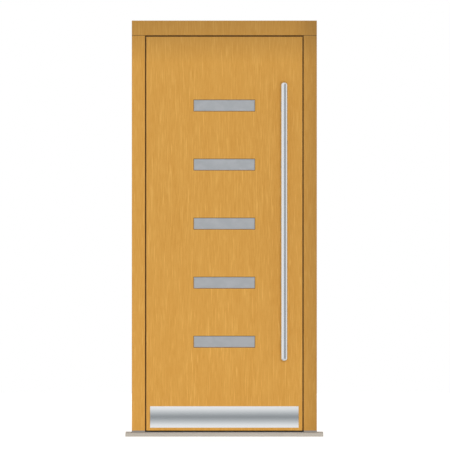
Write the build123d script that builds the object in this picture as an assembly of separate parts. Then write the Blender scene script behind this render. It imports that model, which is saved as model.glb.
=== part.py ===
from build123d import *
import os

# A flush oak front door in its frame, drawn closed, in millimetres.
# +X runs to the right seen from outside, +Y into the house and +Z up.
# The origin is on the underside of the sill, midway along it, in the plane of the outer faces.

# Frame
frame_width = 940.0
frame_height = 2112.0
frame_depth = 72.0
jamb_face = 67.0
head_face = 74.5
stop_depth = 30.0
timber_round = 1.5
fixing_hole = 10.0
fixing_end = 104.25
inner_fixing_spacing = 800.0

# Sill, threshold rail and the blocks under the jambs
sill_height = 19.5
sill_horn = 32.0
sill_nose = 25.0
sill_fall = 1.5
drip_width = 5.0
drip_depth = 4.0
drip_inset = 8.0
block_height = 9.5
rail_inset = 6.0
rail_base = 1.8
rail_wall = 1.5
crest_height = 6.5
crest_width = 24.0
crest_slope = 6.0

# Leaf
gap_side = 6.4
gap_top = 7.5
leaf_lip = 16.0
rebate_clearance = 4.0
outer_panel_thickness = 10.0
inner_panel_thickness = 10.0
hinge_stile_width = 90.0
lock_stile_width = 140.0
top_rail_height = 110.0
bottom_rail_height = 140.0

# Seals
seal_gap = 4.0
seal_clearance = 0.3
seal_wall = 1.2
seal_stem = 3.0
seal_stem_depth = 6.0
seal_groove_play = 0.1
blade_width = 6.0
blade_tip = 2.0
blade_root = 12.0
blade_inset = 8.0

# Lites
lite_count = 5
lite_width = 313.0
lite_height = 60.0
lite_pitch = 300.0
lite_rise = 51.0
gasket_width = 2.5
gasket_setback = 1.5
glass_setback = 1.0
glass_cover = 12.0
unit_depth = 24.0
unit_play = 1.5
bead_lip = 6.0
bead_lip_height = 3.0
bead_chamfer = 1.5

# Pull bar
bar_diameter = 35.5
bar_wall = 2.0
bar_length = 1411.0
bar_rise = 61.0
bar_inset = 94.0
bar_clearance = 45.0
cap_round = 14.0
cap_spigot = 24.0
cap_play = 0.1
post_diameter = 22.0
post_spacing = 1000.0
collar_diameter = 31.0
collar_height = 5.0
bolt_diameter = 8.0
bolt_play = 0.5
bolt_thread_play = 0.1
bolt_grip = 24.0
bolt_head_diameter = 14.0
bolt_head_height = 5.0
bolt_cover_diameter = 32.0
bolt_cover_height = 8.0
bolt_cover_wall = 1.5

# Kick plate
kick_height = 108.5
kick_rise = 15.0
kick_inset = 19.6
kick_sheet = 1.5
kick_bow = 4.0

# Hinges
hinge_height = 100.0
hinge_end = 215.0
plate_width = 28.0
plate_thickness = 3.0
plate_corner = 6.0
knuckle_diameter = 14.0
knuckle_gap = 0.4
knuckle_standoff = 1.0
pin_diameter = 8.0
pin_play = 0.05
pin_head_diameter = 11.0
pin_head_height = 3.0
mortise_play = 0.2

# Lock
spindle_rise = 1021.0
backset = 65.0
cylinder_drop = 92.0
faceplate_width = 20.0
faceplate_length = 240.0
faceplate_thickness = 3.0
case_depth = 95.0
case_thickness = 16.0
case_wall = 1.5
case_above = 48.0
case_below = 32.0
slide_play = 0.4
latch_height = 28.0
latch_throw = 12.5
latch_length = 40.0
tail_width = 8.0
tail_height = 4.5
hook_width = 4.0
hook_play = 4.5
tail_clearance = 2.0
dead_bolt_height = 35.0
dead_bolt_length = 60.0
dead_bolt_throw = 20.0
dead_bolt_rise = 38.0
fork_gap = 12.0
fork_prong = 5.0
fork_web = 8.0
fork_clearance = 1.0
keep_width = 25.0
keep_length = 170.0
keep_thickness = 3.0
keep_play = 1.0
keep_corner = 5.0
pocket_play = 3.0

# Follower and spindle
follower_diameter = 22.0
follower_arm = 24.0
follower_arm_width = 6.0
spindle_side = 8.0
spindle_play = 0.1
spindle_grip = 22.0
spindle_hole = 18.0

# Cylinder and thumb turn
cylinder_diameter = 17.0
cylinder_web = 10.0
cylinder_height = 33.0
cylinder_play = 0.5
cylinder_proud = 3.0
cam_width = 9.0
cam_hub_diameter = 15.0
cam_reach = 14.0
cam_nose_width = 6.0
cam_play = 1.0
cam_turn = 90.0
shaft_diameter = 9.0
shaft_play = 0.1
knob_gap = 0.3
knob_diameter = 24.0
knob_base = 5.0
wing_length = 34.0
wing_width = 8.0
wing_height = 16.0

# Inside plate and lever
backplate_width = 40.0
backplate_thickness = 8.0
backplate_overhang = 60.0
backplate_round = 2.0
neck_diameter = 20.0
neck_play = 0.3
lever_standoff = 56.0
lever_length = 130.0
lever_bend = 22.0

# One overrun serves all cuts
overrun = 1.0

# Places that follow from the sizes
frame_half = frame_width / 2
opening_half = frame_half - jamb_face
leaf_half = opening_half - gap_side
lip_half = leaf_half + leaf_lip
rebate_half = lip_half + rebate_clearance
leaf_foot = sill_height + block_height
head_under = frame_height - head_face
leaf_top = head_under - gap_top
leaf_middle = (leaf_foot + leaf_top) / 2
jamb_middle = (leaf_foot + head_under) / 2
outer_fixing_spacing = head_under - leaf_foot - 2 * fixing_end
lip_top = leaf_top + leaf_lip
rebate_top = lip_top + rebate_clearance
lip_face = stop_depth + seal_gap
core_front = outer_panel_thickness
core_back = frame_depth - inner_panel_thickness
core_left = hinge_stile_width - lip_half
core_right = lip_half - lock_stile_width
seal_side = (opening_half + lip_half) / 2
seal_over = (head_under + lip_top) / 2
bulb_radius = seal_gap - seal_clearance
crest_middle = (lip_face + core_back) / 2
crest_top = sill_height + crest_height
unit_front = outer_panel_thickness
unit_back = unit_front + unit_depth
unit_width = lite_width + 2 * glass_cover
unit_height = lite_height + 2 * glass_cover
lite_middle = leaf_middle + lite_rise
lite_low = lite_middle - (lite_count - 1) * lite_pitch / 2
lite_levels = [lite_low + index * lite_pitch for index in range(lite_count)]
bar_radius = bar_diameter / 2
bar_x = leaf_half - bar_inset
bar_y = -bar_clearance - bar_radius
bar_middle = leaf_middle + bar_rise
bar_low = bar_middle - bar_length / 2
bar_high = bar_middle + bar_length / 2
post_levels = {"top": bar_middle + post_spacing / 2, "bottom": bar_middle - post_spacing / 2}
hinge_x = -(lip_half + rebate_half) / 2
hinge_y = frame_depth + knuckle_standoff + knuckle_diameter / 2
hinge_low = leaf_foot + hinge_end
hinge_high = leaf_top - hinge_end
hinge_levels = {"top": hinge_high, "middle": (hinge_low + hinge_high) / 2, "bottom": hinge_low}
lock_y = (lip_face + core_back) / 2
spindle_x = lip_half - backset
spindle_z = leaf_foot + spindle_rise
cylinder_z = spindle_z - cylinder_drop
dead_bolt_z = cylinder_z + dead_bolt_rise
lock_middle = (spindle_z + dead_bolt_z) / 2
faceplate_back = lip_half - faceplate_thickness
case_back = faceplate_back - case_depth
case_low = cylinder_z - case_below
case_high = spindle_z + case_above
case_outer = lock_y - case_thickness / 2
case_inner = lock_y + case_thickness / 2
bolt_thickness = case_thickness - 2 * case_wall - 2 * slide_play
cylinder_end = frame_depth + backplate_thickness + cylinder_proud
lever_start = frame_depth + backplate_thickness / 2
lever_y = frame_depth + lever_standoff


def prism_x(face, x_low, x_high):
    """Solid from a face drawn in Y and Z, running from x_low to x_high."""
    return extrude(Plane.YZ.offset(x_low) * face, amount=x_high - x_low, dir=(1, 0, 0))


def prism_y(face, y_low, y_high):
    """Solid from a face drawn in X and Z, running from y_low to y_high."""
    return extrude(Plane.XZ.offset(-y_low) * face, amount=y_high - y_low, dir=(0, 1, 0))


def prism_z(face, z_low, z_high):
    """Solid from a face drawn in X and Y, running from z_low to z_high."""
    return extrude(Plane.XY.offset(z_low) * face, amount=z_high - z_low, dir=(0, 0, 1))


def span(low_u, high_u, low_v, high_v):
    """Rectangle between two pairs of sides."""
    return Pos((low_u + high_u) / 2, (low_v + high_v) / 2) * Rectangle(high_u - low_u, high_v - low_v)


def centred(u, v, width, height):
    """Rectangle about a centre."""
    return Pos(u, v) * Rectangle(width, height)


def outline(*points):
    """Face inside a closed run of straight edges."""
    return make_face(Polyline(*points, close=True))


def flipped(shape):
    """The same piece for the hinge side, as the lock side's mirror image."""
    return mirror(shape, about=Plane.YZ)


# Frame pieces

def jamb_section():
    """Plan of the lock jamb: a face leg, and behind the stop a thinner leg that leaves the rebate."""
    section = outline(
        (opening_half, 0),
        (frame_half, 0),
        (frame_half, frame_depth),
        (rebate_half, frame_depth),
        (rebate_half, stop_depth),
        (opening_half, stop_depth),
    )
    return fillet(section.vertices().group_by(Axis.Y)[0], timber_round)


def fixing_holes():
    """Cutters for the four fixings of the lock jamb, through the leg behind the stop."""
    drill = Circle(fixing_hole / 2)
    fixing_y = (stop_depth + frame_depth) / 2
    cutters = Part()
    for spacing in (outer_fixing_spacing, inner_fixing_spacing):
        for sign in (-1, 1):
            hole = Pos(fixing_y, jamb_middle + sign * spacing / 2) * drill
            cutters += prism_x(hole, rebate_half - overrun, frame_half + overrun)
    return cutters


def jamb():
    """Lock jamb without its fittings: both legs, the seal groove and the fixing holes."""
    body = prism_z(jamb_section(), leaf_foot, head_under)
    body += prism_z(span(rebate_half, frame_half, stop_depth, frame_depth), head_under, rebate_top)
    groove = span(
        seal_side - seal_stem / 2 - seal_groove_play,
        seal_side + seal_stem / 2 + seal_groove_play,
        stop_depth - seal_stem_depth - seal_groove_play,
        stop_depth + overrun,
    )
    body -= prism_z(groove, leaf_foot - overrun, head_under + overrun)
    return body - fixing_holes()


def frame_jamb_lock():
    """Lock jamb with the keep let in flush and the pockets that the bolts enter."""
    recess = Pos(lock_y, lock_middle) * keep_face(mortise_play)
    body = jamb() - prism_x(recess, rebate_half - overrun, rebate_half + keep_thickness)
    for window, throw in keep_windows():
        depth = throw - rebate_clearance + pocket_play
        body -= prism_x(window, rebate_half - overrun, rebate_half + depth)
    return body


def frame_jamb_hinge():
    """Hinge jamb with a recess for each hinge plate."""
    body = flipped(jamb())
    for level in hinge_levels.values():
        body -= hinge_recess(level, -rebate_half - plate_thickness, -rebate_half + overrun)
    return body


def frame_head():
    """Head that runs over both jambs, rebated as they are."""
    section = outline(
        (0, head_under),
        (stop_depth, head_under),
        (stop_depth, rebate_top),
        (frame_depth, rebate_top),
        (frame_depth, frame_height),
        (0, frame_height),
    )
    section = fillet(section.vertices().group_by(Axis.X)[0], timber_round)
    groove = span(
        stop_depth - seal_stem_depth - seal_groove_play,
        stop_depth + overrun,
        seal_over - seal_stem / 2 - seal_groove_play,
        seal_over + seal_stem / 2 + seal_groove_play,
    )
    body = prism_x(section, -frame_half, frame_half)
    return body - prism_x(groove, -rebate_half, rebate_half)


def threshold_sill():
    """Sill with a top that falls towards the nose and a drip groove under it."""
    section = outline(
        (-sill_nose, 0),
        (frame_depth, 0),
        (frame_depth, sill_height),
        (0, sill_height),
        (-sill_nose, sill_height - sill_fall),
    )
    section = fillet(section.vertices().group_by(Axis.X)[0].sort_by(Axis.Y)[-1], timber_round)
    drip_start = drip_inset - sill_nose
    section -= span(drip_start, drip_start + drip_width, -overrun, drip_depth)
    reach = frame_half + sill_horn
    return prism_x(section, -reach, reach)


def threshold_block():
    """Block under the lock jamb, with the jamb's own plan."""
    return prism_z(jamb_section(), sill_height, leaf_foot)


def threshold_rail():
    """Metal rail between the blocks: a flat base with a hollow crest under the leaf's seal."""
    crest_front = crest_middle - crest_width / 2
    crest_rear = crest_middle + crest_width / 2
    base_top = sill_height + rail_base
    section = outline(
        (rail_inset, sill_height),
        (frame_depth, sill_height),
        (frame_depth, base_top),
        (crest_rear, base_top),
        (crest_rear - crest_slope, crest_top),
        (crest_front + crest_slope, crest_top),
        (crest_front, base_top),
        (rail_inset, base_top),
    )
    hollow = span(
        crest_front + crest_slope,
        crest_rear - crest_slope,
        sill_height + rail_wall,
        crest_top - rail_wall,
    )
    bar = prism_x(section - hollow, -rebate_half, rebate_half)
    return bar - threshold_block() - flipped(threshold_block())


def seal_section():
    """Section of a frame seal: a hollow half-round bulb above the stop and a stem below it."""
    upper = span(-bulb_radius, bulb_radius, 0, bulb_radius)
    bulb = (Circle(bulb_radius) - Circle(bulb_radius - seal_wall)) & upper
    foot = Circle(bulb_radius) & span(-bulb_radius, bulb_radius, 0, seal_wall)
    stem = span(-seal_stem / 2, seal_stem / 2, -seal_stem_depth, 0)
    return bulb + foot + stem


def seal_lock():
    """Seal up the lock jamb."""
    return prism_z(Pos(seal_side, stop_depth) * seal_section(), leaf_foot, head_under)


def seal_head():
    """Seal along the head."""
    section = Pos(stop_depth, seal_over) * Rot(0, 0, -90) * seal_section()
    return prism_x(section, -rebate_half, rebate_half)


def keep_face(play):
    """Outline of the keep about its own centre, drawn in Y and Z."""
    return RectangleRounded(keep_width + 2 * play, keep_length + 2 * play, keep_corner + play)


def keep_windows():
    """The openings that the latch and the dead bolt enter, each with that bolt's throw."""
    width = bolt_thickness + 2 * keep_play
    latch = centred(lock_y, spindle_z, width, latch_height + 2 * keep_play)
    bolt = centred(lock_y, dead_bolt_z, width, dead_bolt_height + 2 * keep_play)
    return [(latch, latch_throw), (bolt, dead_bolt_throw)]


def keep_plate():
    """Keep for the latch and the dead bolt."""
    face = Pos(lock_y, lock_middle) * keep_face(0)
    for window, _ in keep_windows():
        face -= window
    return prism_x(face, rebate_half, rebate_half + keep_thickness)


# Hinges

def plate_face(level, play):
    """Hinge plate seen along X: square at the room side, rounded in the timber."""
    deep = frame_depth - plate_width - play
    face = span(deep, frame_depth, level - hinge_height / 2 - play, level + hinge_height / 2 + play)
    return fillet(face.vertices().group_by(Axis.X)[0], plate_corner + play)


def hinge_recess(level, x_low, x_high):
    """Cutter for the recess that a hinge plate lies in, open to the room."""
    open_side = span(
        frame_depth - overrun,
        frame_depth + overrun,
        level - hinge_height / 2 - mortise_play,
        level + hinge_height / 2 + mortise_play,
    )
    return prism_x(plate_face(level, mortise_play) + open_side, x_low, x_high)


def hinge_plate(level, x_low, x_high, knuckles):
    """Plate with its knuckles, each a third of the hinge's height."""
    third = hinge_height / 3
    barrel = Pos(hinge_x, hinge_y) * Circle(knuckle_diameter / 2)
    bore = Pos(hinge_x, hinge_y) * Circle(pin_diameter / 2 + pin_play)
    neck = span(x_low, x_high, frame_depth - overrun, hinge_y)
    body = prism_x(plate_face(level, 0), x_low, x_high)
    for place in knuckles:
        low = level + place * third - third / 2 + knuckle_gap / 2
        high = level + place * third + third / 2 - knuckle_gap / 2
        body += prism_z(barrel + neck, low, high)
        body -= prism_z(bore, low - overrun, high + overrun)
    return body


def frame_plate(level):
    """Plate in the hinge jamb, with the upper and the lower knuckle."""
    return hinge_plate(level, -rebate_half - plate_thickness, -rebate_half, (-1, 1))


def door_plate(level):
    """Plate in the leaf's edge, with the middle knuckle."""
    return hinge_plate(level, -lip_half, -lip_half + plate_thickness, (0,))


def hinge_pin(level):
    """Pin with a bevelled head at each end, so that it stays in the knuckles."""
    end = hinge_height / 2 - knuckle_gap / 2
    shaft = Pos(hinge_x, hinge_y) * Circle(pin_diameter / 2)
    head = Pos(hinge_x, hinge_y) * Circle(pin_head_diameter / 2)
    body = prism_z(shaft, level - end, level + end)
    body += prism_z(head, level + end, level + end + pin_head_height)
    body += prism_z(head, level - end - pin_head_height, level - end)
    rims = body.edges().filter_by(GeomType.CIRCLE).sort_by(Axis.Z)
    return chamfer([rims[0], rims[-1]], pin_head_height / 2)


# Leaf

def lite_face(extra):
    """All lite openings seen from outside, each wider by extra on every side."""
    face = Sketch()
    for level in lite_levels:
        face += centred(0, level, lite_width + 2 * extra, lite_height + 2 * extra)
    return face


def bolt_holes(y_low, y_high):
    """Cutters for the pull bar's through bolts."""
    cutters = Part()
    for level in post_levels.values():
        cutters += prism_y(Pos(bar_x, level) * Circle(bolt_diameter / 2 + bolt_play), y_low, y_high)
    return cutters


def cylinder_section(play):
    """Key cylinder seen along Y: a round barrel above a narrow web with a round foot."""
    radius = cylinder_diameter / 2
    web_radius = cylinder_web / 2
    foot = cylinder_height - radius - web_radius
    face = Circle(radius + play) + Pos(0, -foot) * Circle(web_radius + play)
    return Pos(spindle_x, cylinder_z) * (face + span(-web_radius - play, web_radius + play, -foot, 0))


def handle_holes(y_low, y_high):
    """Cutters for the spindle and the key cylinder behind the inside plate."""
    spindle = Pos(spindle_x, spindle_z) * Circle(spindle_hole / 2)
    return prism_y(spindle, y_low, y_high) + prism_y(cylinder_section(cylinder_play), y_low, y_high)


def leaf_outer_panel():
    """Outer face of the leaf with the five lite openings and eased edges."""
    body = prism_y(span(-leaf_half, leaf_half, leaf_foot, leaf_top), 0, outer_panel_thickness)
    body = fillet(body.faces().sort_by(Axis.Y)[0].edges(), timber_round)
    body -= prism_y(lite_face(0), -overrun, outer_panel_thickness + overrun)
    return body - bolt_holes(-overrun, outer_panel_thickness + overrun)


def leaf_inner_panel():
    """Inner face of the leaf, as wide as the lip, cut for beads, hinges and handle."""
    body = prism_y(span(-lip_half, lip_half, leaf_foot, lip_top), core_back, frame_depth)
    body = fillet(body.faces().sort_by(Axis.Y)[-1].edges(), timber_round)
    body -= prism_y(lite_face(glass_cover + unit_play), core_back - overrun, frame_depth + overrun)
    for level in hinge_levels.values():
        body -= hinge_recess(level, -lip_half - overrun, -lip_half + plate_thickness)
    body -= handle_holes(core_back - overrun, frame_depth + overrun)
    return body - bolt_holes(core_back - overrun, frame_depth + overrun)


def blade_groove():
    """Cutter for the groove under the leaf that holds the blade seal."""
    half = blade_width / 2 + seal_groove_play
    top = leaf_foot + blade_root + seal_groove_play
    groove = span(crest_middle - half, crest_middle + half, leaf_foot - overrun, top)
    reach = lip_half - blade_inset + seal_groove_play
    return prism_x(groove, -reach, reach)


def stile(width):
    """Stile of the lock side with its stepped edge."""
    inside = lip_half - width
    body = prism_z(span(inside, leaf_half, core_front, lip_face), leaf_foot, leaf_top)
    body += prism_z(span(inside, lip_half, lip_face, core_back), leaf_foot, lip_top)
    return body - blade_groove()


def leaf_stile_hinge():
    """Hinge stile with a recess for each hinge plate."""
    body = flipped(stile(hinge_stile_width))
    for level in hinge_levels.values():
        body -= hinge_recess(level, -lip_half - overrun, -lip_half + plate_thickness)
    return body


def leaf_stile_lock():
    """Lock stile with the mortise for the lock and the holes of handle and bar."""
    case = span(
        case_back - mortise_play,
        faceplate_back + overrun,
        case_low - mortise_play,
        case_high + mortise_play,
    )
    recess = Pos(lock_y, lock_middle) * faceplate_face(mortise_play)
    body = stile(lock_stile_width)
    body -= prism_y(case, case_outer - mortise_play, case_inner + mortise_play)
    body -= prism_x(recess, faceplate_back, lip_half + overrun)
    body -= handle_holes(case_inner, core_back + overrun)
    return body - bolt_holes(core_front - overrun, core_back + overrun)


def leaf_rail_top():
    """Top rail between the stiles with its stepped edge."""
    low = leaf_top - top_rail_height
    section = outline(
        (core_front, low),
        (core_back, low),
        (core_back, lip_top),
        (lip_face, lip_top),
        (lip_face, leaf_top),
        (core_front, leaf_top),
    )
    return prism_x(section, core_left, core_right)


def leaf_rail_bottom():
    """Bottom rail between the stiles."""
    section = span(core_front, core_back, leaf_foot, leaf_foot + bottom_rail_height)
    return prism_x(section, core_left, core_right) - blade_groove()


def leaf_core():
    """Filling between stiles and rails, cut out for the glass units."""
    face = span(core_left, core_right, leaf_foot + bottom_rail_height, leaf_top - top_rail_height)
    return prism_y(face - lite_face(glass_cover + unit_play), core_front, core_back)


def bottom_seal():
    """Blade seal that reaches down to the crest of the threshold rail."""
    tip = crest_top + seal_clearance
    section = outline(
        (crest_middle - blade_tip / 2, tip),
        (crest_middle + blade_tip / 2, tip),
        (crest_middle + blade_width / 2, leaf_foot),
        (crest_middle + blade_width / 2, leaf_foot + blade_root),
        (crest_middle - blade_width / 2, leaf_foot + blade_root),
        (crest_middle - blade_width / 2, leaf_foot),
    )
    reach = lip_half - blade_inset
    return prism_x(section, -reach, reach)


# Lites

def pane_face(level):
    """Visible face of one pane inside its gasket."""
    return centred(0, level, lite_width - 2 * gasket_width, lite_height - 2 * gasket_width)


def glass_unit(level):
    """Sealed unit: a wide back behind the outer panel and a front that comes nearly flush."""
    body = prism_y(centred(0, level, unit_width, unit_height), unit_front, unit_back)
    return body + prism_y(pane_face(level), glass_setback, unit_front)


def glazing_gasket(level):
    """Dark joint between a pane and the edge of its opening."""
    ring = centred(0, level, lite_width, lite_height) - pane_face(level)
    return prism_y(ring, gasket_setback, unit_front)


def glazing_bead(level):
    """Oak frame behind one unit, with a lip that covers the cut edge of the inner panel."""
    lite = centred(0, level, lite_width, lite_height)
    border = 2 * glass_cover + 2 * unit_play
    lip_border = border + 2 * bead_lip
    sleeve = centred(0, level, lite_width + border, lite_height + border)
    cover = centred(0, level, lite_width + lip_border, lite_height + lip_border)
    body = prism_y(sleeve, unit_back, frame_depth)
    body += prism_y(cover, frame_depth, frame_depth + bead_lip_height)
    body -= prism_y(lite, unit_back - overrun, frame_depth + bead_lip_height + overrun)
    return chamfer(body.faces().sort_by(Axis.Y)[-1].edges(), bead_chamfer)


# Pull bar

def pull_bar():
    """Straight tube between the two end caps."""
    ring = Circle(bar_radius) - Circle(bar_radius - bar_wall)
    return prism_z(Pos(bar_x, bar_y) * ring, bar_low + cap_round, bar_high - cap_round)


def bar_cap():
    """Cap with a well rounded rim and a spigot in the tube, drawn with the tube's end at height 0."""
    spigot = bar_radius - bar_wall - cap_play
    rim = RadiusArc((bar_radius, 0), (bar_radius - cap_round, cap_round), -cap_round)
    rest = Polyline(
        (bar_radius - cap_round, cap_round),
        (0, cap_round),
        (0, -cap_spigot),
        (spigot, -cap_spigot),
        (spigot, 0),
        (bar_radius, 0),
    )
    return revolve(Plane.XZ * make_face(rim + rest), Axis.Z)


def pull_bar_cap_top():
    """Upper cap."""
    return Pos(bar_x, bar_y, bar_high - cap_round) * bar_cap()


def pull_bar_cap_bottom():
    """Lower cap, the upper one turned over."""
    return Pos(bar_x, bar_y, bar_low + cap_round) * Rot(180, 0, 0) * bar_cap()


def pull_post(level):
    """Post with a collar on the leaf, a saddle under the tube and the bolt's blind hole."""
    body = prism_y(Pos(bar_x, level) * Circle(post_diameter / 2), bar_y, 0)
    body += prism_y(Pos(bar_x, level) * Circle(collar_diameter / 2), -collar_height, 0)
    tube = Pos(bar_x, bar_y) * Circle(bar_radius)
    body -= prism_z(tube, level - collar_diameter, level + collar_diameter)
    hole = Pos(bar_x, level) * Circle(bolt_diameter / 2 + bolt_thread_play)
    return body - prism_y(hole, -bolt_grip - bolt_thread_play, overrun)


def pull_bolt(level):
    """Through bolt from the inner face into a post."""
    body = prism_y(Pos(bar_x, level) * Circle(bolt_diameter / 2), -bolt_grip, frame_depth)
    head = Pos(bar_x, level) * RegularPolygon(bolt_head_diameter / 2, 6)
    return body + prism_y(head, frame_depth, frame_depth + bolt_head_height)


def bolt_cover(level):
    """Domed cover over a bolt's head on the inner face."""
    radius = bolt_cover_diameter / 2
    solid = prism_y(Pos(bar_x, level) * Circle(radius), frame_depth, frame_depth + bolt_cover_height)
    solid = fillet(solid.edges().sort_by(Axis.Y)[-1], bolt_cover_height / 2)
    room = Pos(bar_x, level) * Circle(radius - bolt_cover_wall)
    room_end = frame_depth + bolt_cover_height / 2 + bolt_cover_wall
    return solid - prism_y(room, frame_depth - overrun, room_end)


# Kick plate

def kick_plate():
    """Steel sheet across the foot of the leaf, bowed outwards a little over its height."""
    low = leaf_foot + kick_rise
    high = low + kick_height
    middle = (low + high) / 2
    front = ThreePointArc((-kick_sheet, low), (-kick_sheet - kick_bow, middle), (-kick_sheet, high))
    back = ThreePointArc((0, high), (-kick_bow, middle), (0, low))
    edges = front + Line((-kick_sheet, high), (0, high)) + back + Line((0, low), (-kick_sheet, low))
    reach = leaf_half - kick_inset
    return prism_x(make_face(edges), -reach, reach)


# Lock

def faceplate_face(play):
    """Outline of the faceplate about its own centre, drawn in Y and Z, with round ends."""
    return Rot(0, 0, 90) * SlotOverall(faceplate_length + 2 * play, faceplate_width + 2 * play)


def lock_faceplate():
    """Faceplate with the windows of the latch and the dead bolt."""
    width = bolt_thickness + 2 * slide_play
    face = Pos(lock_y, lock_middle) * faceplate_face(0)
    face -= centred(lock_y, spindle_z, width, latch_height + 2 * slide_play)
    face -= centred(lock_y, dead_bolt_z, width, dead_bolt_height + 2 * slide_play)
    return prism_x(face, faceplate_back, lip_half)


def lock_case():
    """Sheet case behind the faceplate, open towards it, with holes for follower and cylinder."""
    shell = prism_y(span(case_back, faceplate_back, case_low, case_high), case_outer, case_inner)
    room = span(
        case_back + case_wall,
        faceplate_back + overrun,
        case_low + case_wall,
        case_high - case_wall,
    )
    shell -= prism_y(room, case_outer + case_wall, case_inner - case_wall)
    hub = Pos(spindle_x, spindle_z) * Circle(follower_diameter / 2 + slide_play)
    shell -= prism_y(hub, case_outer - overrun, case_inner + overrun)
    return shell - prism_y(cylinder_section(cylinder_play), case_outer - overrun, case_inner + overrun)


def latch_bolt():
    """Latch with a slanted nose, and a tail whose hook hangs in front of the follower's arm."""
    back = lip_half + latch_throw - latch_length
    tail_low = spindle_z + follower_arm + tail_clearance
    tail_high = tail_low + tail_height
    hook_face = spindle_x - follower_arm_width / 2 - hook_play
    block = centred(lip_half + latch_throw - latch_length / 2, spindle_z, latch_length, latch_height)
    body = prism_y(block, lock_y - bolt_thickness / 2, lock_y + bolt_thickness / 2)
    tail = span(back, back + tail_height, spindle_z, tail_high)
    tail += span(hook_face - hook_width, back + tail_height, tail_low, tail_high)
    tail += span(hook_face - hook_width, hook_face, spindle_z + follower_arm / 2, tail_high)
    body += prism_y(tail, lock_y - tail_width / 2, lock_y + tail_width / 2)
    nose = outline(
        (lip_half, lock_y - bolt_thickness / 2),
        (lip_half + latch_throw, lock_y + bolt_thickness / 2 - case_wall),
        (lip_half + latch_throw + overrun, lock_y - bolt_thickness / 2),
    )
    return body - prism_z(nose, spindle_z - latch_height, spindle_z + latch_height)


def dead_bolt():
    """Dead bolt, drawn back flush with the faceplate, with a forked tail over the cam's nose."""
    back = lip_half - dead_bolt_length
    face = centred(lock_y, dead_bolt_z, bolt_thickness, dead_bolt_height)
    fork_x = spindle_x - dead_bolt_throw / 2
    low = cylinder_z + cylinder_diameter / 2 + fork_clearance
    high = dead_bolt_z - dead_bolt_height / 2 + fork_web
    notch_top = cylinder_z + cam_reach + fork_clearance
    tail = span(fork_x - fork_gap / 2 - fork_prong, back, low, high)
    tail -= span(fork_x - fork_gap / 2, fork_x + fork_gap / 2, low - overrun, notch_top)
    body = prism_x(face, back, lip_half)
    return body + prism_y(tail, lock_y - tail_width / 2, lock_y + tail_width / 2)


def lock_follower():
    """Follower hub with its square hole and the arm that draws the latch back."""
    arm = span(-follower_arm_width / 2, follower_arm_width / 2, 0, follower_arm)
    square = Rectangle(spindle_side + 2 * spindle_play, spindle_side + 2 * spindle_play)
    centre = Pos(spindle_x, spindle_z)
    body = prism_y(centre * Circle(follower_diameter / 2), case_outer, case_inner)
    body += prism_y(centre * arm, lock_y - tail_width / 2, lock_y + tail_width / 2)
    return body - prism_y(centre * square, case_outer - overrun, case_inner + overrun)


def lever_spindle():
    """Square bar between the follower and the lever's neck."""
    square = Pos(spindle_x, spindle_z) * Rectangle(spindle_side, spindle_side)
    return prism_y(square, case_outer, lever_start + spindle_grip)


def lock_cylinder():
    """Half cylinder for the inside, with a slot for the cam and a bore for the shaft."""
    body = prism_y(cylinder_section(0), case_outer, cylinder_end)
    slot_half = cam_width / 2 + cam_play
    slot = span(
        spindle_x - cam_reach,
        spindle_x + cam_reach,
        cylinder_z - cam_reach - cam_play,
        cylinder_z + cam_reach,
    )
    body -= prism_y(slot, lock_y - slot_half, lock_y + slot_half)
    bore = Pos(spindle_x, cylinder_z) * Circle(shaft_diameter / 2 + shaft_play)
    return body - prism_y(bore, lock_y, cylinder_end + overrun)


def cylinder_cam():
    """Cam on the shaft of the thumb turn, its nose leaning back from upright by half of its turn."""
    nose = Rot(0, 0, cam_turn / 2) * span(-cam_nose_width / 2, cam_nose_width / 2, 0, cam_reach)
    face = Circle(cam_hub_diameter / 2) + nose - Circle(shaft_diameter / 2 + shaft_play)
    return prism_y(Pos(spindle_x, cylinder_z) * face, lock_y - cam_width / 2, lock_y + cam_width / 2)


def thumb_turn():
    """Thumb turn: a round base with an upright wing, and the shaft that carries the cam."""
    start = cylinder_end + knob_gap
    centre = Pos(spindle_x, cylinder_z)
    upright = centre * Rot(0, 0, 90) * SlotOverall(wing_length, wing_width)
    wing = prism_y(upright, start + knob_base, start + wing_height)
    wing = fillet(wing.faces().sort_by(Axis.Y)[-1].edges(), wing_width / 4)
    base = prism_y(centre * Circle(knob_diameter / 2), start, start + knob_base)
    base = fillet(base.edges().sort_by(Axis.Y)[-1], knob_base / 4)
    shaft = prism_y(centre * Circle(shaft_diameter / 2), lock_y - cam_width / 2, start)
    return base + wing + shaft


def handle_backplate():
    """Long inside plate with round ends, holes for the lever's neck and the cylinder."""
    length = cylinder_drop + 2 * backplate_overhang
    middle = (spindle_z + cylinder_z) / 2
    face = Pos(spindle_x, middle) * Rot(0, 0, 90) * SlotOverall(length, backplate_width)
    body = prism_y(face, frame_depth, frame_depth + backplate_thickness)
    body = fillet(body.faces().sort_by(Axis.Y)[-1].edges(), backplate_round)
    neck = Pos(spindle_x, spindle_z) * Circle(neck_diameter / 2 + neck_play)
    body -= prism_y(neck, frame_depth - overrun, frame_depth + backplate_thickness + overrun)
    barrel = cylinder_section(cylinder_play)
    return body - prism_y(barrel, frame_depth - overrun, frame_depth + backplate_thickness + overrun)


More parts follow.
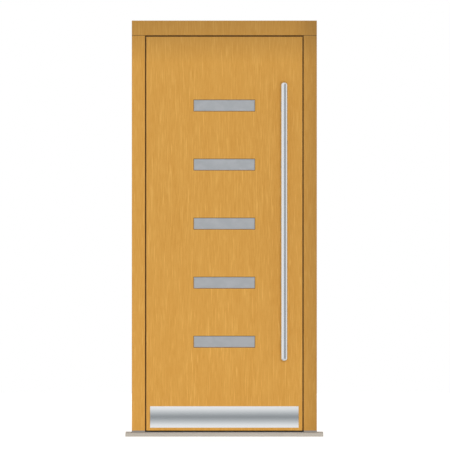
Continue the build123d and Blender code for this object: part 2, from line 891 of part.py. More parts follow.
def lever_handle():
    """Round lever: a neck out of the plate, a bend, and an arm towards the hinges with a round end."""
    corner = (spindle_x, lever_y, spindle_z)
    start = (spindle_x, lever_start, spindle_z)
    end = (spindle_x - lever_length, lever_y, spindle_z)
    path = FilletPolyline(start, corner, end, radius=lever_bend)
    radius = neck_diameter / 2
    section = Plane(origin=start, x_dir=(1, 0, 0), z_dir=(0, 1, 0)) * Circle(radius)
    body = sweep(section, path=path) + Pos(*end) * Sphere(radius)
    socket = Rectangle(spindle_side + 2 * spindle_play, spindle_side + 2 * spindle_play)
    reach = lever_start + spindle_grip + spindle_play
    return body - prism_y(Pos(spindle_x, spindle_z) * socket, lever_start - overrun, reach)


def group(pieces):
    """Like pieces kept together as one node."""
    return Compound([solid for piece in pieces for solid in piece.solids()])


def save(name, shape):
    """Write one node."""
    export_step(shape, f"parts/{name}.step")


os.makedirs("parts", exist_ok=True)

save("frame_head", frame_head())
save("frame_jamb_hinge", frame_jamb_hinge())
save("frame_jamb_lock", frame_jamb_lock())
save("threshold_sill", threshold_sill())
save("threshold_rail", threshold_rail())
save("threshold_block_hinge", flipped(threshold_block()))
save("threshold_block_lock", threshold_block())
save("seal_head", seal_head())
save("seal_hinge", flipped(seal_lock()))
save("seal_lock", seal_lock())
save("keep_plate", keep_plate())

for name, level in hinge_levels.items():
    save(f"hinge_{name}_frame_plate", frame_plate(level))
    save(f"hinge_{name}_door_plate", door_plate(level))
    save(f"hinge_{name}_pin", hinge_pin(level))

save("leaf_outer_panel", leaf_outer_panel())
save("leaf_inner_panel", leaf_inner_panel())
save("leaf_stile_hinge", leaf_stile_hinge())
save("leaf_stile_lock", leaf_stile_lock())
save("leaf_rail_top", leaf_rail_top())
save("leaf_rail_bottom", leaf_rail_bottom())
save("leaf_core", leaf_core())
save("bottom_seal", bottom_seal())

for index, level in enumerate(lite_levels, start=1):
    save(f"glass_unit_{index}", glass_unit(level))
    save(f"glazing_bead_{index}", glazing_bead(level))
save("glazing_gaskets", group(glazing_gasket(level) for level in lite_levels))

save("pull_bar", pull_bar())
save("pull_bar_cap_top", pull_bar_cap_top())
save("pull_bar_cap_bottom", pull_bar_cap_bottom())
for name, level in post_levels.items():
    save(f"pull_post_{name}", pull_post(level))
save("pull_bolts", group(pull_bolt(level) for level in post_levels.values()))
save("pull_bolt_caps", group(bolt_cover(level) for level in post_levels.values()))
save("kick_plate", kick_plate())

save("lock_case", lock_case())
save("lock_faceplate", lock_faceplate())
save("lock_cylinder", lock_cylinder())
save("handle_backplate", handle_backplate())
save("lever_handle", lever_handle())
save("lever_spindle", lever_spindle())
save("lock_follower", lock_follower())
save("latch_bolt", latch_bolt())
save("dead_bolt", dead_bolt())
save("thumb_turn", thumb_turn())
save("cylinder_cam", cylinder_cam())
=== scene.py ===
import math

import bmesh
import bpy
from mathutils import Matrix, Vector


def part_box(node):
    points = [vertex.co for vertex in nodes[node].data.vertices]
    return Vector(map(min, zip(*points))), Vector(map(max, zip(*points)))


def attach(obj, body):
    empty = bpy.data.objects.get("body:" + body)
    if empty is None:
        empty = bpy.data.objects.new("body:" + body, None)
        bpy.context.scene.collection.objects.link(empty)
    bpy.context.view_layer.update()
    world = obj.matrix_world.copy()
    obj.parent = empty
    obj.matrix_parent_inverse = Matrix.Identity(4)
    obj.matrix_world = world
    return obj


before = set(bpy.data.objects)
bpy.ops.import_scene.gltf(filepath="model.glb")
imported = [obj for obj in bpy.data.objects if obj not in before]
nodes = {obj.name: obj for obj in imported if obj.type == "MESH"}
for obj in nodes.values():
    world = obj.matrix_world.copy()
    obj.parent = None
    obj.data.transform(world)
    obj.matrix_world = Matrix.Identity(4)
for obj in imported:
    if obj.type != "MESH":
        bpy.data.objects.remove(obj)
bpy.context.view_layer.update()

scene = bpy.context.scene


def linear(red, green, blue):
    """A colour written on a screen's scale of 0 to 255, as the renderer takes it."""
    def one(value):
        share = value / 255
        return share / 12.92 if share <= 0.04045 else ((share + 0.055) / 1.055) ** 2.4
    return (one(red), one(green), one(blue), 1.0)


# Node helpers

class Recipe:
    """One material or world under way: short calls that add nodes and join them."""

    def __init__(self, name, tree=None):
        if tree is None:
            self.material = bpy.data.materials.new(name)
            self.material.use_nodes = True
            tree = self.material.node_tree
            self.shader = tree.nodes["Principled BSDF"]
        self.tree = tree

    def set(self, socket, value):
        """Give a socket a constant, or join it to another socket."""
        if isinstance(value, bpy.types.NodeSocket):
            self.tree.links.new(value, socket)
        elif value is not None:
            socket.default_value = value

    def add(self, kind, output=0, settings=None, inputs=None):
        """New node of a kind, with its inputs by name or by number."""
        node = self.tree.nodes.new(kind)
        for key, value in (settings or {}).items():
            setattr(node, key, value)
        for key, value in (inputs or {}).items():
            self.set(node.inputs[key], value)
        return node.outputs[output]

    def math(self, operation, first, second=None, third=None, clamp=False):
        """Sum, product or other operation on up to three values."""
        settings = {"operation": operation, "use_clamp": clamp}
        return self.add("ShaderNodeMath", 0, settings, {0: first, 1: second, 2: third})

    def scaled(self, value, gain, base, clamp=False):
        """Value times a gain, plus a base."""
        return self.math("MULTIPLY_ADD", value, gain, base, clamp)

    def point(self):
        """Where on the object a point lies, in metres."""
        return self.add("ShaderNodeTexCoord", "Object")

    def along(self, axis):
        """How far along one axis of the object a point lies."""
        return self.add("ShaderNodeSeparateXYZ", axis, None, {"Vector": self.point()})

    def cells(self, counts, detail=2.0, roughness=0.5, shift=(0, 0, 0), point=None):
        """Noise with so many cells a metre along X, Y and Z."""
        inputs = {"Vector": point or self.point(), "Location": shift, "Scale": counts}
        place = self.add("ShaderNodeMapping", 0, None, inputs)
        inputs = {"Vector": place, "Scale": 1.0, "Detail": detail, "Roughness": roughness}
        return self.add("ShaderNodeTexNoise", 0, None, inputs)

    def ramp(self, value, low, high, to_low=0.0, to_high=1.0, smooth=True):
        """Value carried from one range to another, held at both ends."""
        settings = {"interpolation_type": "SMOOTHSTEP" if smooth else "LINEAR"}
        inputs = {"Value": value, "From Min": low, "From Max": high, "To Min": to_low, "To Max": to_high}
        return self.add("ShaderNodeMapRange", 0, settings, inputs)

    def mix(self, share, first, second, blend="MIX"):
        """Two colours mixed by a share, or blended in another way."""
        settings = {"data_type": "RGBA", "blend_type": blend}
        return self.add("ShaderNodeMix", 2, settings, {0: share, 6: first, 7: second})

    def bump(self, height, strength, depth):
        """Fine relief of the surface, its depth in metres."""
        inputs = {"Strength": strength, "Distance": depth, "Height": height}
        self.set(self.shader.inputs["Normal"], self.add("ShaderNodeBump", 0, None, inputs))

    def finish(self, **inputs):
        """Set inputs of the shader, and give back the material."""
        for key, value in inputs.items():
            self.set(self.shader.inputs[key.replace("_", " ")], value)
        return self.material


def paint(material, *names):
    """Give CAD nodes one material."""
    for name in names:
        mesh = nodes[name].data
        mesh.materials.clear()
        mesh.materials.append(material)


def named(start):
    """All CAD nodes whose names begin alike."""
    return [name for name in nodes if name.startswith(start)]


# Wood: lacquer tones, and for each layer of the grain its cells a metre across and along and its detail

GOLD = (linear(198, 138, 44), linear(224, 170, 81))
EDGE = (linear(104, 70, 34), linear(132, 94, 52))
LAYERS = {
    "broad": (22, 2.5, 1.0),
    "streak": (470, 14, 3.0),
    "fleck": (260, 9, 1.0),
    "pore": (1250, 55, 2.0),
}

# How much each layer lightens or darkens the wood, and the part of the noise that makes flecks and pores

BASE_LIGHT = 0.33
BROAD_WEIGHT = 0.28
STREAK_WEIGHT = 1.30
FLECK_WEIGHT = 0.76
FLECK_RANGE = (0.60, 0.76)
PORE_WEIGHT = 0.30
PORE_RANGE = (0.57, 0.70)

# How far the grain wanders and over how many cells a metre, and steps that keep boards and layers unlike

BEND = 0.003
BEND_CELLS = (3.0, 3.0, 1.3)
BOARD_STEP = (7.3, 3.1, 5.7)
LAYER_STEP = (11, -5, 17)

# Lacquer: its relief, its roughness and how much smoother the ridges are, and the clear coat

WOOD_RELIEF = 0.18
WOOD_DEPTH = 0.0004
WOOD_ROUGH = 0.46
RIDGE_GLOSS = 0.12
COAT_WEIGHT = 0.15
COAT_ROUGH = 0.3


def grain(r, seed, along):
    """How light the wood is at a point and how high its surface: streaks, light flecks, fine pores."""
    counts = BEND_CELLS if along == "Z" else BEND_CELLS[::-1]
    wave = r.cells(counts, 1.0, shift=(seed, seed, seed))
    bent = {"operation": "MULTIPLY_ADD"}
    point = r.add("ShaderNodeVectorMath", 0, bent, {0: wave, 1: (BEND, BEND, BEND), 2: r.point()})
    layer = {}
    for number, (name, (across, length, detail)) in enumerate(LAYERS.items()):
        counts = (across, across, length) if along == "Z" else (length, across, across)
        shift = [seed * board + number * step for board, step in zip(BOARD_STEP, LAYER_STEP)]
        layer[name] = r.cells(counts, detail, shift=shift, point=point)
    fleck = r.ramp(layer["fleck"], *FLECK_RANGE)
    pore = r.ramp(layer["pore"], *PORE_RANGE)
    light = r.scaled(layer["broad"], BROAD_WEIGHT, BASE_LIGHT)
    swing = r.scaled(layer["streak"], STREAK_WEIGHT, -STREAK_WEIGHT / 2)
    light = r.math("ADD", light, swing)
    light = r.scaled(fleck, FLECK_WEIGHT, light)
    light = r.scaled(pore, -PORE_WEIGHT, light, clamp=True)
    return light, r.math("SUBTRACT", layer["streak"], pore)


def lacquered(r, light, height, tones, shade=None):
    """Satin lacquer over a grain, its colour deepened where a shade is given: painted light and shade,
    and dark lines at joints and mitres.
    """
    colour = r.mix(light, *tones)
    # The given shade multiplies the colour: painted light and shade, and dark joint lines
    if shade is not None:
        level = r.add("ShaderNodeCombineXYZ", 0, None, {0: shade, 1: shade, 2: shade})
        colour = r.mix(1.0, colour, level, "MULTIPLY")
    r.bump(height, WOOD_RELIEF, WOOD_DEPTH)
    rough = r.scaled(height, -RIDGE_GLOSS, WOOD_ROUGH)
    r.finish(Base_Color=colour, Roughness=rough)
    return r.finish(Coat_Weight=COAT_WEIGHT, Coat_Roughness=COAT_ROUGH)


def wood(name, seed, tones=GOLD, along="Z", shade=None):
    """Lacquered wood with its grain along one axis."""
    r = Recipe(name)
    light, height = grain(r, seed, along)
    return lacquered(r, light, height, tones, shade and shade(r))


# Painted light and shade in the lacquer's colour, and dark lines at the joints and mitres: shares of its
# full tone, and the lengths in metres over which they change

# Painted light: the wood paler towards the foot
FOOT_HEIGHT = 1.2
PAINTED_FOOT_LIGHT = 1.09
# Painted shadow: the wood deeper under the head
TOP_DROP = 0.135
PAINTED_TOP_SHADOW = 0.80
# Painted shade: the leaf a trace deeper towards the lock
LOCK_START = -0.1
PAINTED_LOCK_SHADE = 0.97
# Painted shadow across the lock jamb and over the head
PAINTED_LOCK_JAMB_SHADOWS = (0.83, 0.70)
PAINTED_HEAD_SHADOWS = (0.77, 0.71)
HEAD_END = 0.13
PAINTED_HEAD_END_SHADOW = 0.76
JOINT_RANGE = (0.0022, 0.0026)
JOINT_SHADE = 0.33
MITRE_RANGE = (0.0002, 0.0005)
MITRE_SHADE = 0.55

leaf_side, _, leaf_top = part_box("leaf_outer_panel")[1]
head_low, head_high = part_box("frame_head")
jamb_low, jamb_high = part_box("frame_jamb_lock")
stop_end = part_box("seal_lock")[1][1]


def painted_height_shade(r):
    """Painted light a little paler towards the foot, and painted shadow deeper over a hand's breadth
    under the head.
    """
    foot = r.ramp(r.along("Z"), 0.0, FOOT_HEIGHT, PAINTED_FOOT_LIGHT, 1.0)
    top = r.ramp(r.along("Z"), leaf_top - TOP_DROP, leaf_top, 1.0, PAINTED_TOP_SHADOW, smooth=False)
    return r.math("MULTIPLY", foot, top)


def painted_leaf_shade(r):
    """As by height, and a painted shade a trace deeper towards the lock."""
    side = r.ramp(r.along("X"), LOCK_START, leaf_side, 1.0, PAINTED_LOCK_SHADE)
    return r.math("MULTIPLY", side, painted_height_shade(r))


def jamb_joint_and_painted_shade(r):
    """Painted shade as by height, with a dark line at the joint with the head, which is higher behind the
    stop.
    """
    behind = r.math("GREATER_THAN", r.along("Y"), stop_end)
    top = r.scaled(behind, jamb_high[2] - head_low[2], head_low[2])
    below = r.math("SUBTRACT", top, r.along("Z"))
    line = r.ramp(below, *JOINT_RANGE, JOINT_SHADE, 1.0)
    return r.math("MULTIPLY", line, painted_height_shade(r))


def lock_jamb_joint_and_painted_shade(r):
    """As the other jamb, and a painted shadow deeper towards the outer edge."""
    side = r.ramp(r.along("X"), jamb_low[0], jamb_high[0], *PAINTED_LOCK_JAMB_SHADOWS, smooth=False)
    return r.math("MULTIPLY", side, jamb_joint_and_painted_shade(r))


def painted_head_shade(r):
    """Painted shadow deeper upwards, and at the end over the lock jamb."""
    rise = r.ramp(r.along("Z"), head_low[2], head_high[2], *PAINTED_HEAD_SHADOWS, smooth=False)
    end = r.ramp(r.along("X"), head_high[0] - HEAD_END, head_high[0], 1.0, PAINTED_HEAD_END_SHADOW)
    return r.math("MULTIPLY", rise, end)


def mitred_wood(name, seed, box):
    """Wood of a mitred frame: upright grain in its sides, level above and below, a line at each mitre."""
    r = Recipe(name)
    centre = [(low + high) / 2 for low, high in zip(*box)]
    reach = [(high - low) / 2 for low, high in zip(*box)]
    across = r.math("ABSOLUTE", r.math("SUBTRACT", r.along("X"), centre[0]))
    upward = r.math("ABSOLUTE", r.math("SUBTRACT", r.along("Z"), centre[2]))
    past = r.math("SUBTRACT", r.math("SUBTRACT", across, upward), reach[0] - reach[2])
    side = r.math("GREATER_THAN", past, 0.0)
    seam = r.ramp(r.math("ABSOLUTE", past), *MITRE_RANGE, MITRE_SHADE, 1.0)
    pairs = zip(grain(r, seed, "Z"), grain(r, seed, "X"))
    light, height = [r.scaled(side, r.math("SUBTRACT", u, v), v) for u, v in pairs]
    return lacquered(r, light, height, GOLD, seam)


paint(wood("oak_leaf_outer", seed=1.0, shade=painted_leaf_shade), "leaf_outer_panel")
paint(wood("oak_leaf_inner", seed=2.0), "leaf_inner_panel")
paint(wood("oak_jamb_hinge", seed=5.0, shade=jamb_joint_and_painted_shade), "frame_jamb_hinge")
paint(wood("oak_jamb_lock", seed=6.0, shade=lock_jamb_joint_and_painted_shade), "frame_jamb_lock")
paint(wood("oak_head", seed=7.0, shade=painted_head_shade), "frame_head")
paint(wood("edge_stiles", seed=3.0, tones=EDGE), "leaf_stile_hinge", "leaf_stile_lock")
paint(wood("edge_rails", seed=4.0, tones=EDGE, along="X"), "leaf_rail_top", "leaf_rail_bottom")
for bead_seed, bead in enumerate(named("glazing_bead"), start=8):
    paint(mitred_wood(f"oak_{bead}", bead_seed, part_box(bead)), bead)


# Filling of the leaf: cells a metre of its flakes

FLAKES = (160, 160, 90)


def pressed_board():
    """Flakes of wood in two tones."""
    r = Recipe("pressed_board")
    place = r.add("ShaderNodeMapping", 0, None, {"Vector": r.point(), "Scale": FLAKES})
    flake = r.add("ShaderNodeTexVoronoi", "Color", None, {"Vector": place, "Scale": 1.0})
    grey = r.add("ShaderNodeSeparateColor", 0, None, {"Color": flake})
    r.bump(grey, strength=0.3, depth=0.0005)
    colour = r.mix(grey, linear(176, 142, 98), linear(208, 178, 134))
    return r.finish(Base_Color=colour, Roughness=0.85)


paint(pressed_board(), "leaf_core")


# Glass and rubber: cells a metre of each grain, and the parts of noise and height that change the tone;
# the part by height is painted light

GLASS_CLOUDS = (16, 16, 26)
GLASS_ETCH = (2600, 2600, 2600)
CLOUD_RANGE = (0.35, 0.75)
PAINTED_LIGHT_HEIGHTS = (0.4, 1.5)
PAINTED_LIGHT_SHARE = 0.5
RUBBER_GRAIN = (900, 900, 900)
RUBBER_WEAR = (35, 35, 35)
DUST_RANGE = (0.4, 0.75)


def frosted_glass():
    """Satin etched glass: pale grey with faint clouds, painted light that makes it paler low down, and a
    fine etched grain.
    """
    r = Recipe("frosted_glass")
    cloud = r.cells(GLASS_CLOUDS, detail=3.0, roughness=0.6)
    etch = r.cells(GLASS_ETCH)
    # Painted light: the glass paler low down
    paler = r.ramp(r.along("Z"), *PAINTED_LIGHT_HEIGHTS, PAINTED_LIGHT_SHARE, 0.0)
    share = r.math("ADD", r.ramp(cloud, *CLOUD_RANGE), paler, clamp=True)
    colour = r.mix(share, linear(163, 167, 171), linear(175, 178, 182))
    r.bump(etch, strength=0.08, depth=0.0002)
    rough = r.scaled(cloud, gain=0.2, base=0.42)
    return r.finish(Base_Color=colour, Roughness=rough, IOR=1.5, Transmission_Weight=0.15)


def rubber(name, colour, dust):
    """Moulded rubber with a fine grain and a trace of dust."""
    r = Recipe(name)
    fine = r.cells(RUBBER_GRAIN, detail=3.0)
    worn = r.cells(RUBBER_WEAR)
    r.bump(fine, strength=0.2, depth=0.0002)
    tone = r.mix(r.ramp(worn, *DUST_RANGE), colour, dust)
    return r.finish(Base_Color=tone, Roughness=r.scaled(fine, gain=0.2, base=0.6))


paint(frosted_glass(), *named("glass_unit"))
paint(rubber("gasket_rubber", linear(74, 63, 51), linear(98, 87, 73)), "glazing_gaskets")
paint(rubber("seal_rubber", linear(38, 32, 25), linear(58, 50, 40)), *named("seal_"), "bottom_seal")


# Metal: cells a metre of brush lines, cast skin and clouds, and how much lines change tone and gloss

LINES_X = (12, 2200, 2200)
LINES_Z = (2200, 2200, 12)
CAST = (700, 700, 700)
METAL_CLOUDS = (14, 14, 14)
LINE_SHARE = 0.6
LINE_GLOSS = 0.10
METAL_DEPTH = 0.0002


def metal(name, low, high, roughness, lines, relief=0.06):
    """Brushed or cast metal with small changes of tone and gloss."""
    r = Recipe(name)
    line = r.cells(lines, roughness=0.6)
    cloud = r.cells(METAL_CLOUDS, shift=(3, 1, 2))
    r.bump(line, relief, METAL_DEPTH)
    tone = r.scaled(line, LINE_SHARE, r.math("MULTIPLY", cloud, 1 - LINE_SHARE))
    rough = r.scaled(line, LINE_GLOSS, roughness - LINE_GLOSS / 2)
    return r.finish(Base_Color=r.mix(tone, low, high), Roughness=rough, Metallic=1.0)


SATIN = (linear(218, 221, 223), linear(230, 232, 234))
BRIGHT = (linear(236, 237, 237), linear(243, 244, 244))
GREY = (linear(184, 185, 186), linear(202, 202, 202))
WARM = (linear(186, 184, 178), linear(206, 203, 196))
DULL = (linear(150, 150, 146), linear(176, 175, 170))

bar_steel = metal("bar_steel", *SATIN, roughness=0.20, lines=LINES_Z, relief=0.03)
lever_steel = metal("lever_steel", *SATIN, roughness=0.20, lines=LINES_X, relief=0.03)
plate_steel = metal("plate_steel", *BRIGHT, roughness=0.13, lines=LINES_X, relief=0.02)
hinge_steel = metal("hinge_steel", *GREY, roughness=0.30, lines=LINES_Z)
lock_steel = metal("lock_steel", *WARM, roughness=0.30, lines=LINES_Z)
case_steel = metal("case_steel", *DULL, roughness=0.45, lines=CAST, relief=0.12)

paint(bar_steel, *named("pull_"), "handle_backplate", "thumb_turn")
paint(lever_steel, "lever_handle")
paint(plate_steel, "kick_plate")
paint(hinge_steel, *named("hinge_"))
paint(lock_steel, "keep_plate", "lock_faceplate", "latch_bolt", "dead_bolt", "lock_cylinder")
paint(lock_steel, "pull_bolts", "lever_spindle")
paint(case_steel, "lock_case", "lock_follower", "cylinder_cam")


# Threshold rail: where its crest begins behind its front edge, and over how much the tone changes

CREST_INSET = 0.006
CREST_EDGE = 0.001


def threshold_finish():
    """Pale anodised metal in front, and a dark moulded crest behind it, its near black partly painted
    shade under the leaf.
    """
    r = Recipe("threshold_finish")
    line = r.cells(LINES_X)
    crest_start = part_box("threshold_rail")[0][1] + CREST_INSET
    crest = r.ramp(r.along("Y"), crest_start, crest_start + CREST_EDGE)
    pale = r.mix(line, linear(206, 206, 205), linear(222, 222, 221))
    # Dark moulded crest, made near black as painted shade in the gap under the leaf
    dark = r.mix(line, linear(22, 20, 17), linear(34, 31, 27))
    r.bump(line, strength=0.05, depth=METAL_DEPTH)
    rough = r.scaled(crest, gain=0.25, base=0.40)
    bare = r.scaled(crest, gain=-0.3, base=0.3)
    return r.finish(Base_Color=r.mix(crest, pale, dark), Roughness=rough, Metallic=bare)


paint(threshold_finish(), "threshold_rail")


# Sill and blocks: cells a metre of the stone grain, its clouds and its specks

STONE_GRAIN = (420, 420, 420)
STONE_CLOUDS = (9, 9, 9)
SPECKS = (900, 900, 900)
SPECK_RANGE = (0.66, 0.74)


def composite(name, dark, light, speck):
    """Moulded composite with a fine stone grain and small specks."""
    r = Recipe(name)
    fine = r.cells(STONE_GRAIN, detail=4.0, roughness=0.65)
    broad = r.cells(STONE_CLOUDS)
    point = r.cells(SPECKS, detail=1.0, shift=(9, 4, 1))
    tone = r.scaled(fine, gain=0.7, base=r.scaled(broad, gain=0.5, base=-0.1), clamp=True)
    colour = r.mix(r.ramp(point, *SPECK_RANGE), r.mix(tone, dark, light), speck)
    r.bump(fine, strength=0.15, depth=0.0004)
    return r.finish(Base_Color=colour, Roughness=r.scaled(fine, gain=0.2, base=0.55))


sill_stone = composite("sill_stone", linear(182, 174, 163), linear(206, 199, 188), linear(166, 158, 146))
block_grey = composite("block_grey", linear(136, 132, 127), linear(158, 154, 149), linear(116, 112, 108))
paint(sill_stone, "threshold_sill")
paint(block_grey, *named("threshold_block"))


# Screw heads: recess and rise as shares of the radius, and the share of reach and rise of each ring

ARM_SHARE = 0.55
SLOT_SHARE = 0.15
RISE_SHARE = 0.22
DOME_RINGS = ((1.0, 0.0), (0.97, 0.3), (0.80, 0.75))
CROSS_RINGS = ((1.08, 1.0), (1.0, 0.9), (0.8, -0.3))
ROUND_STEPS = (30.0, 45.0, 60.0)
TINY = 1e-6
FIRST_TURN = 0.7
TURN_STEP = 1.9


def screw_mesh(name, radius):
    """Raised countersunk head with a cross recess, its face towards +Z."""
    arm = ARM_SHARE * radius
    half = SLOT_SHARE * radius
    rise = RISE_SHARE * radius
    corner = math.degrees(math.atan2(half, arm))
    quarter = (-corner, 0.0, corner, *ROUND_STEPS)
    angles = [math.radians(90 * turn + step) for turn in range(4) for step in quarter]

    def cross(angle):
        """How far from the middle the recess reaches in one direction."""
        off_arm = abs((angle + math.pi / 4) % (math.pi / 2) - math.pi / 4)
        at_end = off_arm <= math.radians(corner) + TINY
        return arm / math.cos(off_arm) if at_end else half / math.sin(off_arm)

    rings = [[(radius * share, rise * lift)] * len(angles) for share, lift in DOME_RINGS]
    rings += [[(cross(a) * share, rise * lift) for a in angles] for share, lift in CROSS_RINGS]
    mesh = bmesh.new()
    loops = []
    for ring in rings:
        spots = [(d * math.cos(a), d * math.sin(a), h) for (d, h), a in zip(ring, angles)]
        loops.append([mesh.verts.new(spot) for spot in spots])
    count = len(angles)
    for lower, upper in zip(loops, loops[1:]):
        for i in range(count):
            j = (i + 1) % count
            mesh.faces.new((lower[i], lower[j], upper[j], upper[i]))
    mesh.faces.new(loops[-1])
    data = bpy.data.meshes.new(name)
    mesh.to_mesh(data)
    mesh.free()
    return data


def screws(name, body, material, facing, radius, places):
    """Screws of one plate as one piece, each turned a little differently."""
    upright = Vector((0, 0, 1)).rotation_difference(Vector(facing)).to_matrix().to_4x4()
    group = bmesh.new()
    head = screw_mesh("head", radius)
    for index, place in enumerate(places):
        turn = Matrix.Rotation(FIRST_TURN + TURN_STEP * index, 4, "Z")
        copy = head.copy()
        copy.transform(Matrix.Translation(place) @ upright @ turn)
        group.from_mesh(copy)
        bpy.data.meshes.remove(copy)
    data = bpy.data.meshes.new(name)
    group.to_mesh(data)
    group.free()
    bpy.data.meshes.remove(head)
    data.materials.append(material)
    piece = bpy.data.objects.new(name, data)
    scene.collection.objects.link(piece)
    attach(piece, body)


# Places of the screws: radii, then how deep behind the room face and how far apart they are on a hinge

HINGE_SCREW = 0.0042
PLATE_SCREW = 0.004
HINGE_DEPTHS = (0.018, 0.009, 0.018, 0.009)
HINGE_PITCH = 0.024

room_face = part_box("leaf_inner_panel")[1][1]
leaf_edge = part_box("leaf_inner_panel")[0][0]
jamb_face = -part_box("keep_plate")[0][0]
plate_sides = [("frame", "frame", jamb_face, (1, 0, 0)), ("door", "leaf", leaf_edge, (-1, 0, 0))]
for level in ("top", "middle", "bottom"):
    for side, body, x_face, facing in plate_sides:
        low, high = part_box(f"hinge_{level}_{side}_plate")
        middle = (low[2] + high[2]) / 2
        half_count = (len(HINGE_DEPTHS) - 1) / 2
        spots = []
        for step, depth in enumerate(HINGE_DEPTHS):
            spots.append((x_face, room_face - depth, middle + HINGE_PITCH * (step - half_count)))
        name = f"hinge_{level}_{side}_screws"
        screws(name, body, hinge_steel, facing, HINGE_SCREW, spots)


def end_screws(name, plate, body, material, facing, end):
    """Two screws in the middle of an upright plate's face, one at a distance from each end."""
    low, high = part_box(plate)
    choices = [(low[i], (low[i] + high[i]) / 2, high[i]) for i in range(2)]
    x, y = [choice[way + 1] for choice, way in zip(choices, facing)]
    spots = [(x, y, z) for z in (low[2] + end, high[2] - end)]
    screws(name, body, material, facing, PLATE_SCREW, spots)


end_screws("keep_screws", "keep_plate", "frame", lock_steel, (-1, 0, 0), end=0.013)
end_screws("faceplate_screws", "lock_faceplate", "leaf", lock_steel, (1, 0, 0), end=0.020)
end_screws("backplate_screws", "handle_backplate", "leaf", bar_steel, (0, 1, 0), end=0.018)


# Floor

FLOOR_REACH = 4.0
FLOOR_GREY = (0.70, 0.70, 0.70, 1.0)
FLOOR_GLOW = 0.64
WHITE = (1.0, 1.0, 1.0, 1.0)
RAYS = ("Is Camera Ray", "Is Glossy Ray", "Is Transmission Ray")


def stage_floor():
    """Pale floor, white to the camera and through glass, that keeps the shadow. Mirrors see past it."""
    corners = [(x * FLOOR_REACH, y * FLOOR_REACH, 0) for x, y in ((-1, -1), (1, -1), (1, 1), (-1, 1))]
    data = bpy.data.meshes.new("floor")
    data.from_pydata(corners, [], [(0, 1, 2, 3)])
    r = Recipe("floor_pale")
    camera_ray, glossy_ray, glass_ray = [r.add("ShaderNodeLightPath", kind) for kind in RAYS]
    seen = r.math("ADD", r.math("ADD", camera_ray, glossy_ray), glass_ray, clamp=True)
    glow = r.math("MULTIPLY", seen, FLOOR_GLOW)
    r.finish(Base_Color=FLOOR_GREY, Roughness=0.9, Specular_IOR_Level=0.0)
    r.finish(Emission_Color=WHITE, Emission_Strength=glow)
    data.materials.append(r.material)
    floor = bpy.data.objects.new("floor", data)
    scene.collection.objects.link(floor)
    floor.visible_glossy = False


# Light: the level from all round, and three darker screens by azimuth in radians and by rise

LIGHT_LEVEL = 0.54
SCREEN_DROP = 0.06
NEAR_EDGES = ((-0.27, -0.05), (0.20, 0.40))
NEAR_RISE = 0.26
NEAR_CURVE = 1.22
NEAR_DEPTH = 0.72
NEAR_TINT = (0.93, 1.0, 1.06, 1.0)
SIDE_EDGES = ((-0.02, 0.16), (1.04, 1.34))
SIDE_RISE = (0.75, 1.00)
SIDE_DEPTH = 0.54
SIDE_FOOT = (-0.42, -0.08)
SIDE_FOOT_SHARE = 0.55
GROUND_EDGE = (-0.50, -0.30)
GROUND_RISE = (-0.42, -0.05)
GROUND_DEPTH = 0.34


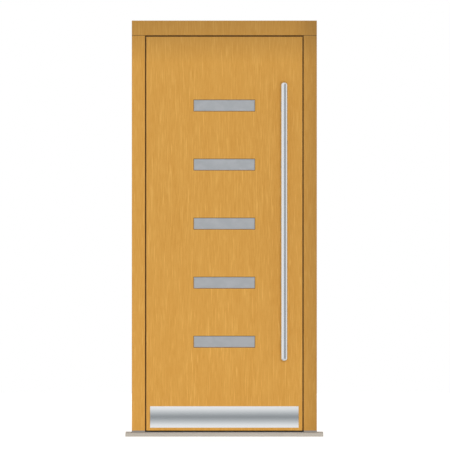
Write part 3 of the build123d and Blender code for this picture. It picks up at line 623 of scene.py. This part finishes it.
def studio_world():
    """White to the camera, a plain soft level as light, and screens that only metal and glass see."""
    world = bpy.data.worlds.new("studio")
    world.use_nodes = True
    scene.world = world
    w = Recipe("studio", world.node_tree)
    way = {"Vector": w.add("ShaderNodeTexCoord", "Generated")}
    x_way, y_way, z_way = [w.add("ShaderNodeSeparateXYZ", axis, None, way) for axis in "XYZ"]
    azimuth = w.math("ARCTAN2", x_way, w.math("ABSOLUTE", y_way))
    rise = w.math("ABSOLUTE", w.math("ADD", z_way, SCREEN_DROP))

    def between(start, end):
        """1 from one soft edge to the other, and 0 outside them."""
        return w.math("MULTIPLY", w.ramp(azimuth, *start), w.ramp(azimuth, *end, 1.0, 0.0))

    fade = w.math("POWER", w.ramp(rise, 0.0, NEAR_RISE, smooth=False), NEAR_CURVE)
    near = w.math("MULTIPLY", between(*NEAR_EDGES), w.math("SUBTRACT", 1.0, fade))
    side = w.math("MULTIPLY", between(*SIDE_EDGES), w.ramp(rise, *SIDE_RISE, SIDE_DEPTH, 0.0))
    side = w.math("MULTIPLY", side, w.ramp(z_way, *SIDE_FOOT, SIDE_FOOT_SHARE, 1.0))
    ground = w.ramp(azimuth, *GROUND_EDGE, GROUND_DEPTH, 0.0)
    ground = w.math("MULTIPLY", ground, w.ramp(z_way, *GROUND_RISE, 1.0, 0.0))
    screens = w.math("MAXIMUM", w.math("MULTIPLY", near, NEAR_DEPTH), side)
    mirrored = w.math("SUBTRACT", 1.0, w.math("MAXIMUM", screens, ground))
    camera_ray, glossy_ray, glass_ray = [w.add("ShaderNodeLightPath", kind) for kind in RAYS]
    by_metal = w.math("ADD", glossy_ray, glass_ray, clamp=True)
    level = w.scaled(by_metal, w.math("SUBTRACT", mirrored, LIGHT_LEVEL), LIGHT_LEVEL)
    level = w.scaled(camera_ray, w.math("SUBTRACT", 1.0, level), level)
    background = world.node_tree.nodes["Background"]
    w.set(background.inputs["Color"], w.mix(w.math("MULTIPLY", near, by_metal), WHITE, NEAR_TINT))
    w.set(background.inputs["Strength"], level)


LAMP_AIM = Vector((0.0, 0.0, 0.9))


def soft_lamp(name, place, energy, width):
    """Square soft lamp that faces the middle of the door."""
    data = bpy.data.lights.new(name, "AREA")
    data.shape = "RECTANGLE"
    data.size = width
    data.size_y = width
    data.energy = energy
    lamp = bpy.data.objects.new(name, data)
    lamp.location = place
    lamp.rotation_euler = (LAMP_AIM - lamp.location).to_track_quat("-Z", "Y").to_euler()
    lamp.visible_glossy = False
    scene.collection.objects.link(lamp)


stage_floor()
studio_world()
soft_lamp("front_lamp", place=(0.5, -7.0, 1.1), energy=231.0, width=1.0)
soft_lamp("back_lamp", place=(1.2, 14.0, 3.5), energy=980.0, width=4.8)


# Camera: how wide it sees at the door, and where it stands sideways and in height

VIEW_WIDTH = 2.286
CAMERA_SIDE = 0.0034
CAMERA_HEIGHT = 1.0734

camera_data = bpy.data.cameras.new("camera")
camera_data.lens = 250.0
camera_data.sensor_width = 36.0
camera_data.clip_end = 200.0
camera = bpy.data.objects.new("camera", camera_data)
distance = VIEW_WIDTH * camera_data.lens / camera_data.sensor_width
camera.location = (CAMERA_SIDE, -distance, CAMERA_HEIGHT)
camera.rotation_euler = (math.pi / 2, 0, 0)
scene.collection.objects.link(camera)
scene.camera = camera

scene.view_settings.view_transform = "Standard"
